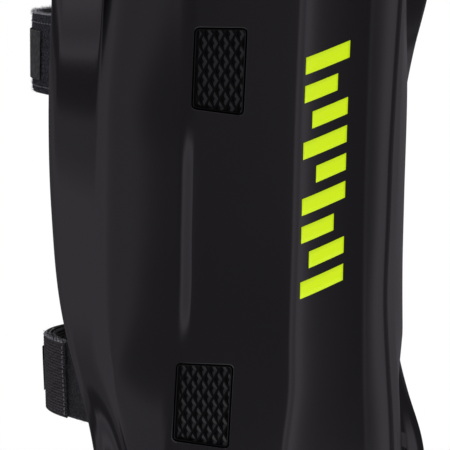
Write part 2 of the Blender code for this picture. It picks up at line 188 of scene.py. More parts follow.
# A strip on a strap. Start and end are shares of the strap's way, and rise is over the strap's middle.
Layer = namedtuple("Layer", "start end offset thick tall rise")
WHOLE_BAND = Layer(0.0, 1.0, 0.0, BAND_THICK, STRAP_HEIGHT, 0.0)
TAPE_OFFSET = BAND_THICK / 2 + GAP + TAPE_THICK / 2
TAPE_TOP = TAPE_OFFSET + TAPE_THICK / 2
OVERLAP_OFFSET = TAPE_TOP + GAP + BAND_THICK / 2
OVERLAP_TOP = OVERLAP_OFFSET + BAND_THICK / 2
OVERLAP = Layer(0.235, 0.465, OVERLAP_OFFSET, BAND_THICK, STRAP_HEIGHT, 0.0)
OVERLAP_FRINGE = Layer(0.236, 0.300, OVERLAP_OFFSET, BAND_THICK, STRAP_HEIGHT, 0.0)

# How a strip is made: the ribs along it, the height of its pile, how far apart its columns stand and how much
# lower its far end is
Weave = namedtuple("Weave", "ribs rib_depth pile spacing taper")
WEBBING = Weave(26, 0.00042, 0.0, 0.0018, 0.0)
PILE = Weave(0, 0.0, 0.00007, 0.0007, 0.0)
MOULDING = Weave(22, 0.00010, 0.0, 0.0009, 0.006)

# Fringe is the number of fibres on the top edge.
Tape = namedtuple("Tape", "node strap start end seed fringe material")
TAPES = [
    Tape("upper_strap_tape", UPPER, 0.19, 0.43, 11, 3200, "tape"),
    # The lower tape takes the darker copy of the loop pile, which is painted shade
    Tape("lower_strap_tape", LOWER, 0.19, 0.31, 12, 160, "dark_tape"),
]

# Under is the top of what the tab lies on, and tall and rise are shares of STRAP_HEIGHT.
Tab = namedtuple("Tab", "node strap start end under tall rise")
TABS = [
    Tab("upper_strap_tab", UPPER, 0.276, 0.325, TAPE_TOP, 0.62, -0.02),
    Tab("lower_strap_tab", LOWER, 0.2955, 0.36, OVERLAP_TOP, 0.60, 0.0),
]

# Start and end are shares of the strap's way, and low and high are the heights there over the strap's middle.
Seam = namedtuple("Seam", "start end low high count")
UPPER_SEAMS = [Seam(0.195, 0.425, 0.0125, 0.0125, 44), Seam(0.195, 0.425, -0.0132, -0.0132, 44)]
LOWER_SEAMS = [Seam(0.2375, 0.2375, -0.015, 0.015, 15)]
THREAD = 0.00045
THREAD_LIFT = 0.35  # how far the middle of a stitch lies over the strip, as a share of THREAD
THREAD_DIP = 0.9  # and how far its ends dip from there
STITCH_SHARE = 0.32  # half a stitch, as a share of their pitch
STITCH_RINGS = 5
STITCH_SIDES = 6
STITCH_AHEAD = 0.01

# The shades run from dark to light over a noise of this scale and detail, which spread sets wider apart.
Look = namedtuple("Look", "use material scale detail spread dark light rough relief relief_depth")
TAPE_DARK = (0.001, 0.0015, 0.003)
STRAP_LOOKS = [
    Look(
        "webbing", "elastic_webbing", 1400, 3, True,
        (0.003, 0.003, 0.004), (0.044, 0.042, 0.046), 0.85, 0.6, 0.0006,
    ),
    Look("tape", "loop_pile", 1300, 4, True, TAPE_DARK, (0.034, 0.039, 0.052), 0.95, 0.9, 0.0010),
    # This darker copy of the loop pile is painted shade, for the shadow the lower tape lies in
    Look("dark_tape", "loop_pile_painted_shade", 1300, 4, True, TAPE_DARK, (0.022, 0.020, 0.023), 0.95, 0.9, 0.0010),
    Look(
        "tab", "tab_moulding", 500, 3, True,
        (0.018, 0.019, 0.018), (0.044, 0.047, 0.044), 0.6, 0.3, 0.0004,
    ),
    Look("fibre", "pile_fibre", 700, 2, False, (0.02, 0.022, 0.028), (0.20, 0.21, 0.24), 0.8, 0, 0),
    # The fringe fibres are near white: a painted highlight of light from behind on the top edges
    Look("fringe", "fringe_fibre_painted_highlight", 700, 2, False, (0.25, 0.26, 0.28), (0.85, 0.86, 0.88), 0.8, 0, 0),
    Look("thread", "sewing_thread", 700, 2, False, (0.08, 0.08, 0.09), (0.30, 0.30, 0.31), 0.8, 0, 0),
]

Fibre = namedtuple("Fibre", "reach width")
FACE_FIBRE = Fibre(0.0008, 0.00009)
FRINGE_FIBRE = Fibre(0.0010, 0.00012)
OVERLAP_FIBRE = Fibre(0.0007, 0.00012)
FACE_FIBRES = 5000
OVERLAP_FIBRES = 260
OVERLAP_SEED = 41
FRINGE_SEEDS = 20  # from a tape's seed to its fringe's
FIBRE_SPREAD = 0.55
FIBRE_CURL = 0.35
FIBRE_LENGTHS = (0.5, 1.3)  # least and most, as shares of reach
FIBRE_ROOT = 1.2  # width at its root, as a share of width, which falls by one to its tip

# Print on the front panel
PRINT_LOW = 0.168
PRINT_HIGH = 0.266
PRINT_LEFT = -0.0135
PRINT_RIGHT = 0.0055
PRINT_SLANT = 0.30  # rise over run of each bar
PRINT_THICK = 0.00012
PRINT_BARS = 9
PRINT_FILL = 0.60  # share of the pitch that a bar takes
PRINT_DROP = 0.003  # how far the left end of the lowest bar lies under PRINT_LOW
PRINT_PROUD = 0.00005  # air between the panel and the print
PRINT_COLUMNS = 16  # of each bar
PRINT_ROWS = 4
PRINT_STATIONS = 120  # places across the panel at which its depth is taken
# Where each bar starts and ends, as shares of the print's width
PRINT_SPANS = [(0.0, 1.0), (0.18, 1.0), (0.0, 0.74), (0.0, 1.0), (0.30, 1.0)]

# Camera
VIEW_AZIMUTH = math.radians(-30)
VIEW_ELEVATION = math.radians(10.6)
VIEW_DISTANCE = 0.8986
VIEW_LENS = 186.7
SENSOR = 36.0
AIM_HEIGHT = 0.193
AIM_ASIDE = -0.0412  # from the front line to what the camera looks at, to its right

# The studio seen by the plastic, from straight behind round by the left side, the front and the right side:
# azimuth in degrees from the front, and brightness.
STUDIO = [
    (-180, 0.10), (-152, 0.24), (-138, 0.30), (-126, 0.46),
    (-114, 0.52), (-107, 0.62), (-102, 0.44), (-92, 0.40),
    (-79, 0.46), (-72, 0.17), (-60, 0.15), (-47, 0.15),
    (-40, 0.32), (-33, 0.85), (-25, 0.70), (-14, 0.56),
    (-2, 0.64), (8, 0.86), (17, 0.88), (22, 0.56),
    (26, 0.36), (31, 0.22), (36, 0.15), (70, 0.12),
    (86, 0.12), (94, 0.16), (99, 0.10), (103, 0.06),
    (107, 0.08), (113, 0.19), (119, 0.12), (180, 0.09),
]
STUDIO_TINT = (1.02, 0.95, 1.06)
NOISE_REACH = 0.1  # how far from its middle a noise is taken to reach where it is spread out
FLOOR_RADIUS = 0.24
FLOOR_SIDES = 96
LIGHT_AT = (-0.25, 0.45, 1.5)
LIGHT_AIM = (0, 0, 0.2)
LIGHT_SIZE = 0.9
LIGHT_POWER = 9.0


def table_value(column, level):
    """One column of the section table at an array of levels, on a smooth curve through its rows."""
    values = np.array([getattr(row, column) for row in SECTIONS])
    slopes = np.gradient(values, LEVELS)
    i = np.clip(np.searchsorted(LEVELS, level) - 1, 0, len(LEVELS) - 2)
    span = LEVELS[i + 1] - LEVELS[i]
    t = (level - LEVELS[i]) / span
    return (
        (1 + 2 * t) * (1 - t) ** 2 * values[i]
        + t * (1 - t) ** 2 * span * slopes[i]
        + t * t * (3 - 2 * t) * values[i + 1]
        - t * t * (1 - t) * span * slopes[i + 1]
    )


def pair(x, depth):
    return np.stack([x, depth], axis=-1)


def unit(vector):
    return vector / np.linalg.norm(vector, axis=-1, keepdims=True)


def outward_of(along):
    """The direction out of the shell beside a way from its front to its rear."""
    along = unit(along)
    return pair(along[..., 1], -along[..., 0])


def corners(level):
    """The corners of the right half section: middle, ridge, crease, bulge, valley and edge."""
    value = {name: table_value(name, level) for name in Section._fields[1:]}
    front = value["front"] * DEPTH + RIDGE_SET
    ridge = pair(value["ridge_x"] * HALF_WIDTH, front)
    crease, valley, edge = (
        pair(value[name + "_x"] * HALF_WIDTH, value[name + "_d"] * DEPTH)
        for name in ("crease", "valley", "edge")
    )
    along = valley - crease
    bulge = crease + BULGE_ALONG * along + (value["bulge"] * DEPTH)[..., None] * outward_of(along)
    middle = pair(0 * front, front - PANEL_CROWN)
    return middle, ridge, crease, bulge, valley, edge


def towards(start, end, distance):
    return start + unit(end - start) * distance


def valley_cut(level):
    """How far the rounding of the valley line reaches, which softens towards the foot."""
    fade = np.clip((VALLEY_FADES[0] - level) / (VALLEY_FADES[0] - VALLEY_FADES[1]), 0, 1)
    fade = fade * fade * (3 - 2 * fade)
    return VALLEY_CUT_SHARP + (VALLEY_CUT_SOFT - VALLEY_CUT_SHARP) * fade


def step_share(level, side):
    """How much of the step stands at each level: all of it on the right, none beside the left windows."""
    if side > 0:
        return np.ones(np.shape(level) + (1,))
    start, full, fade, end = STEP_LEVELS
    rise = np.clip((level - start) / (full - start), 0, 1) * np.clip((end - level) / (end - fade), 0, 1)
    return (rise * rise * (3 - 2 * rise))[..., None]


def step_corners(level, side, room):
    """The foot and the top of the step beside the crease, and the corner behind it."""
    _, ridge, crease, bulge, _, _ = corners(level)
    outward = outward_of(crease - ridge)
    if side > 0:
        share = np.interp(level, RIGHT_STEP_LEVELS, RIGHT_STEP_SHARES)[..., None]
        foot = ridge + (crease - ridge) * share
        return foot, towards(foot, crease, RIGHT_STEP_WIDE) + outward * RIGHT_STEP_RISE, crease
    top = towards(crease, bulge, STEP_BEHIND * room) + outward * STEP_RISE * step_share(level, side)
    return towards(crease, ridge, STEP_BEFORE), top, towards(top, bulge, STEP_AFTER * room)


def stretches(level, side):
    """The outer skin of one half of a section as stretches of (start, control, end), front to rear."""
    middle, ridge, crease, bulge, valley, edge = corners(level)
    band = np.linalg.norm(edge - valley, axis=-1) - EDGE_SET
    flank = np.linalg.norm(valley - crease, axis=-1)
    cut = np.minimum(valley_cut(level), np.minimum(band, flank) * VALLEY_SHARE)[..., None]
    room = np.clip((flank[..., None] - cut) / STEP_ROOM, 0, 1)
    foot, top, behind = step_corners(level, side, room)
    ridge_in = towards(ridge, pair(ridge[..., 0] * PANEL_FLAT, middle[..., 1]), RIDGE_CUT)
    ridge_out = towards(ridge, crease, RIDGE_CUT)
    foot_in = towards(foot, ridge, CREASE_CUT + (STEP_CUT - CREASE_CUT) * step_share(level, side))
    facet_bend = (ridge_out + foot_in) / 2 + outward_of(crease - ridge) * (RIGHT_BOW if side > 0 else 0.0)
    slope_middle = (foot + top) / 2
    top_out = towards(top, behind, STEP_TOP_CUT * room)
    behind_out = towards(behind, bulge, CREASE_CUT * room)
    valley_in = towards(valley, bulge, cut)
    valley_out = towards(valley, edge, cut)
    strip_start = towards(edge, valley, EDGE_SET)
    rearward = unit(edge - valley)
    inward = -outward_of(rearward)
    strip_bend = strip_start + EDGE_STRIP * EDGE_BEND * rearward
    strip_end = strip_start + EDGE_STRIP * (math.cos(EDGE_TURN) * rearward + math.sin(EDGE_TURN) * inward)
    return [
        (middle, pair(ridge_in[..., 0] * PANEL_FLAT, middle[..., 1]), ridge_in),
        (ridge_in, ridge, ridge_out),
        (ridge_out, facet_bend, foot_in),
        (foot_in, foot, slope_middle),
        (slope_middle, top, top_out),
        (top_out, behind, behind_out),
        (behind_out, bulge, valley_in),
        (valley_in, valley, valley_out),
        (valley_out, (valley_out + strip_start) / 2, strip_start),
        (strip_start, strip_bend, strip_end),
    ]


def curve(start, control, end, t):
    return (1 - t) ** 2 * start + 2 * t * (1 - t) * control + t * t * end


def skin(level, along, side=1):
    """The outer skin at arrays of levels and ways. Each stretch of a section starts at a whole number."""
    level, along = np.broadcast_arrays(np.asarray(level, float), np.asarray(along, float))
    parts = stretches(level, side)
    which = np.clip(along.astype(int), 0, len(parts) - 1)
    t = (along - which)[..., None]
    made = np.zeros(level.shape + (2,))
    for number, part in enumerate(parts):
        made = np.where((which == number)[..., None], curve(*part, t), made)
    return made


def skin_outward(level, along, side):
    """The direction out of the skin, level with the ground."""
    before = skin(level, np.clip(along - WAY_STEP, 0, LAST_WAY), side)
    after = skin(level, np.clip(along + WAY_STEP, 0, LAST_WAY), side)
    return outward_of(after - before)


def section_ways():
    """The ways along the section at which the shell's columns stand."""
    ways = [number + i / count for number, count in enumerate(STRETCH_COLUMNS) for i in range(count)]
    return np.array(ways + [LAST_WAY])


def shares_of(ways):
    """How far each way lies from the middle plane to the rear edge, as a share."""
    path = skin(np.full(len(ways), SHARE_LEVEL), ways)
    lengths = np.concatenate([[0], np.cumsum(np.linalg.norm(np.diff(path, axis=0), axis=1))])
    return lengths / lengths[-1]


def depth_shift():
    """From a depth to Y in the frame, by the foremost point of the CAD shell."""
    levels = np.linspace(0, 1, TABLE_STEPS)
    foremost = table_value("front", levels).min() * DEPTH
    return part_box("shell")[0].y - foremost + PANEL_CROWN


SHIFT = depth_shift()


def place(flat, z, side=1):
    """Points in the frame from x and depth and a height."""
    return np.stack([side * flat[..., 0], flat[..., 1] + SHIFT, np.broadcast_to(z, flat.shape[:-1])], -1)


def link(name, mesh, material=None, smooth=True):
    made = bpy.data.objects.new(name, mesh)
    bpy.context.scene.collection.objects.link(made)
    if material:
        mesh.materials.append(material)
    if smooth:
        mesh.shade_smooth()
    return made


def mesh_from(name, points, faces):
    mesh = bpy.data.meshes.new(name)
    mesh.from_pydata([tuple(p) for p in np.asarray(points).reshape(-1, 3)], [], faces)
    mesh.validate()
    return mesh


def grid_faces(rows, columns, cyclic=False, first=0):
    """Quads of a grid of points that are stored row by row."""
    faces = []
    for low in range(first, first + (rows - 1) * columns, columns):
        for c in range(columns if cyclic else columns - 1):
            right = (c + 1) % columns
            faces.append((low + c, low + right, low + columns + right, low + columns + c))
    return faces


def rim_steps():
    """Heights from a rim and how far the skins are drawn in there, for the rim's rounding."""
    angles = np.linspace(0, math.pi / 2, RIM_ROWS)
    return RIM_ROUND * (1 - np.cos(angles)), RIM_ROUND * (1 - np.sin(angles))


def shell_rows():
    """How far up each row of the shell stands, as its height over the foot, under the top and its inset."""
    rise, inset = rim_steps()
    middle = np.linspace(0, 1, ROWS)[1:-1]
    low = [(0.0, h, i) for h, i in zip(rise, inset)]
    high = [(1.0, -h, i) for h, i in zip(rise[::-1], inset[::-1])]
    return low + [(share, 0.0, 0.0) for share in middle] + high


def half_ring(ways, tops, feet, row, side):
    """The outer skin, the end of the wall and the inner skin of one half at one row."""
    share, rise, inset = row
    z = feet + (tops - feet) * share + rise
    level = z / HEIGHT
    out = skin(level, ways, side)
    direction = skin_outward(level, ways, side)
    outer = out - direction * inset
    inner = out - direction * (WALL - inset)
    outer[0, 0] = inner[0, 0] = 0.0
    angles = np.linspace(0, math.pi, TIP_STEPS + 2)[1:-1, None]
    middle = (outer[-1] + inner[-1]) / 2
    reach = (outer[-1] - inner[-1]) / 2
    rearward = pair(-direction[-1, 1], direction[-1, 0])
    tip = middle + reach * np.cos(angles) + rearward * EDGE_TIP * np.sin(angles)
    flat = np.concatenate([outer, tip, inner[::-1]])
    heights = np.concatenate([z, np.full(len(tip), z[-1]), z[::-1]])
    return place(flat, heights, side)


def shell_mesh():
    """The whole shell as one closed ring of points for each row."""
    ways = section_ways()
    shares = shares_of(ways)
    tops = HEIGHT - TOP_DROP * (1 - np.sqrt(np.maximum(0, 1 - shares**ARCH_POWER)))
    turn = np.maximum(0, (shares - FOOT_FROM) / (1 - FOOT_FROM))
    feet = FOOT_ROUND * (1 - np.sqrt(1 - turn * turn))
    rows = shell_rows()
    points = []
    for row in rows:
        right = half_ring(ways, tops, feet, row, 1)
        left = half_ring(ways, tops, feet, row, -1)[::-1][1:-1]
        points.append(np.concatenate([right, left]))
    points = np.array(points)
    ring = points.shape[1]
    half = len(right)
    faces = grid_faces(len(rows), ring, cyclic=True)
    columns = len(ways)
    for first, flip in ((0, True), ((len(rows) - 1) * ring, False)):
        caps = [(i, i + 1, half - 2 - i, half - 1 - i) for i in range(columns - 1)]
        caps.append(tuple(range(columns - 1, half - columns + 1)))
        mirrored = [tuple((ring - i) % ring for i in face)[::-1] for face in caps]
        for face in caps + mirrored:
            face = face[::-1] if flip else face
            faces.append(tuple(first + i for i in face))
    return mesh_from("shin_shell", points, faces)


def tidy_mesh(mesh):
    """Joins points that meet and turns the faces outwards."""
    work = bmesh.new()
    work.from_mesh(mesh)
    bmesh.ops.remove_doubles(work, verts=work.verts, dist=MEET)
    bmesh.ops.recalc_face_normals(work, faces=work.faces)
    work.to_mesh(mesh)
    work.free()


def facet_point(share, level, side):
    """A point of the flank facet, from the front ridge at 0 to the crease at 1."""
    _, ridge, crease, _, _, _ = corners(np.array(level))
    x, depth = ridge + (crease - ridge) * share
    return Vector((side * x, depth + SHIFT, level * HEIGHT))


def window_frame(level, side):
    """The frame of a window: x to the right hand along the facet, z out of it, origin at its middle."""
    middle_share = (WINDOW_FRONT + WINDOW_REAR) / 2
    half = WINDOW_HEIGHT / 2 / HEIGHT
    origin = facet_point(middle_share, level, side)
    rearward = (facet_point(1, level, side) - facet_point(0, level, side)).normalized()
    climb = facet_point(middle_share, level + half, side) - facet_point(middle_share, level - half, side)
    across = rearward * side
    up = (climb - climb.dot(across) * across).normalized()
    made = Matrix((across, up, across.cross(up))).transposed().to_4x4()
    made.translation = origin
    return made


def bend(start, control, end, count):
    """Points along a smooth bend, both ends included."""
    return [curve(start, control, end, t) for t in np.linspace(0, 1, count)]


def rounded(points, radius):
    """A closed outline with its corners rounded."""
    points = np.array(points)
    made = []
    for before, corner, after in zip(np.roll(points, 1, 0), points, np.roll(points, -1, 0)):
        made += bend(towards(corner, before, radius), corner, towards(corner, after, radius), CORNER_STEPS)
    return made


def window_outline(level, side, grow=0.0):
    """The window's outline in its own frame, or one that is larger all round by grow."""
    wide = (WINDOW_REAR - WINDOW_FRONT) * (facet_point(1, level, 1) - facet_point(0, level, 1)).length
    half_wide = wide / 2 + grow
    half_tall = WINDOW_HEIGHT / 2 + grow
    points = [
        (-side * half_wide, -half_tall),
        (side * half_wide, -half_tall + WINDOW_RISE),
        (side * half_wide, half_tall),
        (-side * half_wide, half_tall),
    ]
    points = [(x - side * WINDOW_LEAN * y, y) for x, y in points]
    return rounded(points, max(WINDOW_CORNER + grow, WINDOW_CORNER / 2))


def prism(name, level, side, rings, material=None):
    """A solid of window outlines. Each of the rings gives its height over the facet and how much it grows."""
    points = []
    for height, grow in rings:
        points += [(x, y, height) for x, y in window_outline(level, side, grow)]
    count = len(points) // len(rings)
    faces = grid_faces(len(rings), count, cyclic=True)
    faces.append(tuple(range(count))[::-1])
    faces.append(tuple(range((len(rings) - 1) * count, len(rings) * count)))
    mesh = mesh_from(name, points, faces)
    tidy_mesh(mesh)
    made = link(name, mesh, material, smooth=False)
    made.matrix_world = window_frame(level, side)
    return made


def cut_with(made, tools, operation="DIFFERENCE", solver="EXACT"):
    """Cuts an object with others, which are then gone."""
    for tool in tools:
        cut = made.modifiers.new(tool.name, "BOOLEAN")
        cut.operation = operation
        cut.solver = solver
        cut.object = tool
    depsgraph = bpy.context.evaluated_depsgraph_get()
    mesh = bpy.data.meshes.new_from_object(made.evaluated_get(depsgraph))
    made.modifiers.clear()
    made.data = mesh
    for tool in tools:
        bpy.data.objects.remove(tool, do_unlink=True)


def build_shell(material):
    mesh = shell_mesh()
    tidy_mesh(mesh)
    made = link("shin_shell", mesh, material)
    rings = [(-WALL - CUTTER_REACH, 0.0), *WINDOW_FLARE]
    windows = [prism(f"{s.name}_window", s.level, WINDOW_SIDE, rings) for s in (UPPER, LOWER)]
    cut_with(made, windows)
    made.data.shade_smooth()
    made.data.set_sharp_from_angle(angle=SHELL_SHARP)
    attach(made, "root")
    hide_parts("shell")


def stamp(name, level, side, floor):
    """A solid whose underside is the insert's floor with its field of rhombic pits standing out of it."""
    a, b = (POCKET_WIDE - POCKET_WEB) / 2, (POCKET_TALL - POCKET_WEB * POCKET_TALL / POCKET_WIDE) / 2
    points, faces, cells = [], [], {}

    def rhombus(x, y, z, share):
        for dx, dy in ((a, 0), (0, b), (-a, 0), (0, -b)):
            points.append((x + dx * share, y + dy * share, z))
        return list(range(len(points) - 4, len(points)))

    for i, j in [(i, j) for i in POCKET_REACH for j in POCKET_REACH if (i + j) % 2 == 0]:
        x, y = i * POCKET_WIDE / 2, j * POCKET_TALL / 2
        rim = rhombus(x, y, floor, 1)
        low = rhombus(x + side * a * POCKET_LEAN, y, floor - POCKET_DEEP, POCKET_FLAT)
        cells[i, j] = rim
        faces += [(rim[k], rim[(k + 1) % 4], low[(k + 1) % 4], low[k]) for k in range(4)]
        faces.append(tuple(low))
    for (i, j), (right, top, left, _) in cells.items():
        above, before = cells.get((i + 1, j + 1)), cells.get((i - 1, j + 1))
        below, beyond = cells.get((i + 1, j - 1)), cells.get((i + 2, j))
        if above:
            faces.append((right, above[3], above[2], top))
        if before:
            faces.append((top, before[0], before[3], left))
        if above and below and beyond:
            faces.append((right, below[1], beyond[2], above[3]))
    mesh = mesh_from(name, points, faces)
    work = bmesh.new()
    work.from_mesh(mesh)
    bmesh.ops.recalc_face_normals(work, faces=work.faces)
    rims = [e for e in work.edges if e.is_boundary]
    for part in bmesh.ops.extrude_edge_only(work, edges=rims)["geom"]:
        if isinstance(part, bmesh.types.BMVert):
            part.co.z = CUTTER_REACH
    bmesh.ops.holes_fill(work, edges=[e for e in work.edges if e.is_boundary], sides=0)
    bmesh.ops.recalc_face_normals(work, faces=work.faces)
    work.to_mesh(mesh)
    work.free()
    made = link(name, mesh, smooth=False)
    made.matrix_world = window_frame(level, side)
    return made


def paint_sheen_on_pits(mesh):
    """Gives the walls of the pits that face the rear the second material, a painted sheen: lighter and
    glossier where light catches them.
    """
    for face in mesh.polygons:
        if face.normal.x * WINDOW_SIDE > PIT_LEAN_LEAST and face.normal.z > PIT_RISE_LEAST:
            face.material_index = 1


def build_insert(strap, material, painted_sheen_rubber):
    """An insert with a rounded rim, its flange behind the wall and pits that run under the rim."""
    name, level, side = f"{strap.name}_insert_moulding", strap.level, WINDOW_SIDE
    top = -INSERT_RECESS
    flange = -WALL - FLANGE_GAP
    inside = -GAP - INSERT_RIM
    rings = [(flange - FLANGE_THICK, FLANGE), (flange, FLANGE), (flange, -GAP), (top - INSERT_ROUND, -GAP)]
    well = [(top - INSERT_FLOOR - 2 * POCKET_DEEP, inside), (top - INSERT_ROUND, inside)]
    for angle in INSERT_TURNS:
        rise, run = INSERT_ROUND * math.sin(angle), INSERT_ROUND * (1 - math.cos(angle))
        rings.append((top - INSERT_ROUND + rise, -GAP - run))
        well.append((top - INSERT_ROUND + rise, inside + run))
    well.append((top + CUTTER_REACH / 2, inside + 2 * INSERT_ROUND))
    made = prism(name, level, side, rings, material)
    hollow = prism(name + "_well", level, side, well)
    cut_with(hollow, [stamp(name + "_stamp", level, side, top - INSERT_FLOOR)], "INTERSECT", "MANIFOLD")
    cut_with(made, [hollow], solver="MANIFOLD")
    made.data.materials.clear()
    made.data.materials.append(material)
    made.data.materials.append(painted_sheen_rubber)
    paint_sheen_on_pits(made.data)
    made.data.shade_smooth()
    made.data.set_sharp_from_angle(angle=INSERT_SHARP)
    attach(made, "root")
    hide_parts(f"{strap.name}_insert")


def half_route(strap, level):
    """One half of a strap's way at a level, from its end behind the insert to the middle of its back run."""
    _, ridge, crease, _, valley, _ = corners(np.array(level))
    inset = WALL + FLANGE_GAP + FLANGE_THICK + GAP + BAND_THICK / 2
    facet_in = -outward_of(crease - ridge) * inset
    flank_in = -outward_of(valley - crease) * inset
    end = ridge + (crease - ridge) * STRAP_START + facet_in
    at_crease = crease + facet_in
    at_valley = valley + flank_in
    at_back = np.array([strap.side_x * HALF_WIDTH, strap.back_d * DEPTH])
    middle = np.array([0.0, strap.back_d * DEPTH + STRAP_BOW])
    turns = [(end, at_crease, at_valley, CREASE_BEND), (at_crease, at_valley, at_back, VALLEY_BEND)]
    points = [end]
    for before, corner, after, reach in turns:
        points += bend(towards(corner, before, reach), corner, towards(corner, after, reach), BEND_STEPS)
    back_in, back_out = towards(at_back, at_valley, BACK_BEND), towards(at_back, middle, BACK_BEND)
    points += bend(back_in, at_back, back_out, BACK_STEPS)
    points += bend(back_out, np.array([back_out[0] / 2, middle[1]]), middle, BEND_STEPS)[1:]
    return np.array(points)


class Route:
    """A strap's middle sheet, from its left end round the calf to its right end."""

    def __init__(self, strap):
        self.middle = strap.level * HEIGHT
        self.heights = self.middle + np.linspace(-ROUTE_REACH, ROUTE_REACH, ROUTE_LEVELS) * STRAP_HEIGHT
        self.stations = np.linspace(0, 1, ROUTE_STATIONS)
        paths, directions = [], []
        for z in self.heights:
            right = half_route(strap, z / HEIGHT)
            path = np.concatenate([right * (-1, 1), right[::-1][1:]])
            lengths = np.concatenate([[0], np.cumsum(np.linalg.norm(np.diff(path, axis=0), axis=1))])
            shares = lengths / lengths[-1]
            path = pair(*(np.interp(self.stations, shares, path[:, k]) for k in (0, 1)))
            steps = unit(np.gradient(path, axis=0))
            paths.append(path)
            directions.append(pair(-steps[:, 1], steps[:, 0]))
        self.length = float(lengths[-1])
        self.paths, self.directions = np.array(paths), np.array(directions)

    def at(self, share, z):
        """Places on the sheet and the directions out of it, for arrays of shares of the way and heights."""
        share, z = np.broadcast_arrays(np.asarray(share, float), np.asarray(z, float))
        pitch = self.heights[1] - self.heights[0]
        row = np.clip((z - self.heights[0]) / pitch, 0, ROUTE_LEVELS - LAST_CELL)
        column = np.clip(share * (ROUTE_STATIONS - 1), 0, ROUTE_STATIONS - LAST_CELL)
        r, c = row.astype(int), column.astype(int)
        u, v = (row - r)[..., None], (column - c)[..., None]
        found = [
            (grid[r, c] * (1 - v) + grid[r, c + 1] * v) * (1 - u)
            + (grid[r + 1, c] * (1 - v) + grid[r + 1, c + 1] * v) * u
            for grid in (self.paths, self.directions)
        ]
        flat, out = found[0], unit(found[1])
        return place(flat, z), np.stack([out[..., 0], out[..., 1], 0 * out[..., 0]], -1)


def quarter(share):
    """From 0 at an edge to 1 where its rounding ends, along a quarter circle."""
    return np.sqrt(1 - (1 - np.clip(share, 0, 1)) ** 2)


def band(name, route, layer, weave, material, seed=1):
    """A strip on a strap's route, with ribs or pile and rounded edges."""
    start, end, offset, thick, tall, rise = layer
    count = max(COLUMNS_LEAST, int((end - start) * route.length / weave.spacing))
    across = max(weave.ribs * RIB_STEPS, ROWS_LEAST) + 1
    share = np.linspace(start, end, count)[None, :]
    climb = np.linspace(-1, 1, across)[:, None]
    half = np.full(share.shape, tall / 2)
    corner_share = BAND_CORNER / route.length
    low = half - weave.taper * np.clip((share - (end - corner_share)) / corner_share, 0, 1) ** 2
    z = route.middle + rise + np.where(climb < 0, climb * low, climb * half)
    from_side = (1 - abs(climb)) * tall / 2
    from_end = np.minimum(share - start, end - share) * route.length
    body = thick / 2 * (SIDE_THIN + (1 - SIDE_THIN) * quarter(from_side / (thick * SIDE_ROUND)))
    body = body * (END_THIN + (1 - END_THIN) * quarter(from_end / (thick * END_ROUND)))
    if weave.ribs:
        body = body - weave.rib_depth * (1 - np.abs(np.sin(climb * math.pi * weave.ribs / 2)))
    noise = (0, 0)
    if weave.pile:
        noise = np.random.default_rng(seed).normal(0, weave.pile, (2, across, count))
    here, out = route.at(np.broadcast_to(share, z.shape), z)
    front = here + out * (offset + body + noise[0])[..., None]
    back = here + out * (offset - body + noise[1])[..., None]
    points = np.concatenate([front, back[::-1]])
    rows = 2 * across
    last = (rows - 1) * count
    faces = grid_faces(rows, count) + [(last + c, last + c + 1, c + 1, c) for c in range(count - 1)]
    for c, turn in ((0, 1), (count - 1, -1)):
        for r in range(across - 1):
            face = (r, r + 1, rows - 2 - r, rows - 1 - r)
            faces.append(tuple(row * count + c for row in face)[::turn])
    mesh = mesh_from(name, points, faces)
    tidy_mesh(mesh)
    made = link(name, mesh, material)
    made.data.set_sharp_from_angle(angle=BAND_SHARP)
    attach(made, "root")
    return made


def fibres(name, places, leans, fibre, material, seed):
    """Short curved fibres, each a bent ribbon that stands at its place and leans its own way."""
    draw = np.random.default_rng(seed)
    points, faces = [], []
    for at, lean in zip(places, leans):
        way = unit(lean + draw.normal(0, FIBRE_SPREAD, 3))
        side = unit(np.cross(way, draw.normal(0, 1, 3))) * fibre.width / 2
        length = fibre.reach * draw.uniform(*FIBRE_LENGTHS)
        curl = draw.normal(0, FIBRE_CURL, 3) * length
        first = len(points)
        for t in (0.0, 0.5, 1.0):
            centre = at + way * length * t + curl * t * t
            points += [centre - side * (FIBRE_ROOT - t), centre + side * (FIBRE_ROOT - t)]
        faces += grid_faces(3, 2, first=first)
    made = link(name, mesh_from(name, points, faces), material)
    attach(made, "root")
    return made


def stitches(name, route, seams, offset, material):
    """Thread over the outer face of a strip, in stitches along each seam."""
    points, faces = [], []
    for start, end, low, high, count in seams:

        def on_seam(m):
            return route.at(start + (end - start) * m, route.middle + low + (high - low) * m)

        for k in range(count):
            first = len(points)
            for t in np.linspace(-1, 1, STITCH_RINGS):
                m = (k + 0.5) / count + STITCH_SHARE / count * t
                at, out = on_seam(m)
                side = np.cross(unit(on_seam(m + STITCH_AHEAD)[0] - at), out)
                lift = offset + THREAD * (THREAD_LIFT - THREAD_DIP * t**4)
                for angle in np.linspace(0, 2 * math.pi, STITCH_SIDES + 1)[:-1]:
                    ring = side * math.cos(angle) + out * math.sin(angle)
                    points.append(at + out * lift + ring * THREAD / 2)
            faces += grid_faces(STITCH_RINGS, STITCH_SIDES, cyclic=True, first=first)
            faces.append(tuple(range(first, first + STITCH_SIDES))[::-1])
            faces.append(tuple(range(len(points) - STITCH_SIDES, len(points))))
    made = link(name, mesh_from(name, points, faces), material)
    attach(made, "root")
    return made


def edge_places(route, layer, count, seed):
    """Places along the top edge of a strip, and leans upwards and a little outwards."""
    draw = np.random.default_rng(seed)
    share = draw.uniform(layer.start, layer.end, count)
    at, out = route.at(share, route.middle + layer.tall / 2)
    at = at + out * (layer.offset + draw.uniform(-0.5, 0.5, count)[:, None] * layer.thick)
    return at, out * 0.4 + np.array([0, 0, 1])


def face_places(route, layer, count, seed):
    """Places all over the outer face of a strip, and leans out of it."""
    draw = np.random.default_rng(seed)
    share = draw.uniform(layer.start, layer.end, count)
    at, out = route.at(share, route.middle + draw.uniform(-0.5, 0.5, count) * layer.tall)
    return at + out * (layer.offset + layer.thick / 2), out


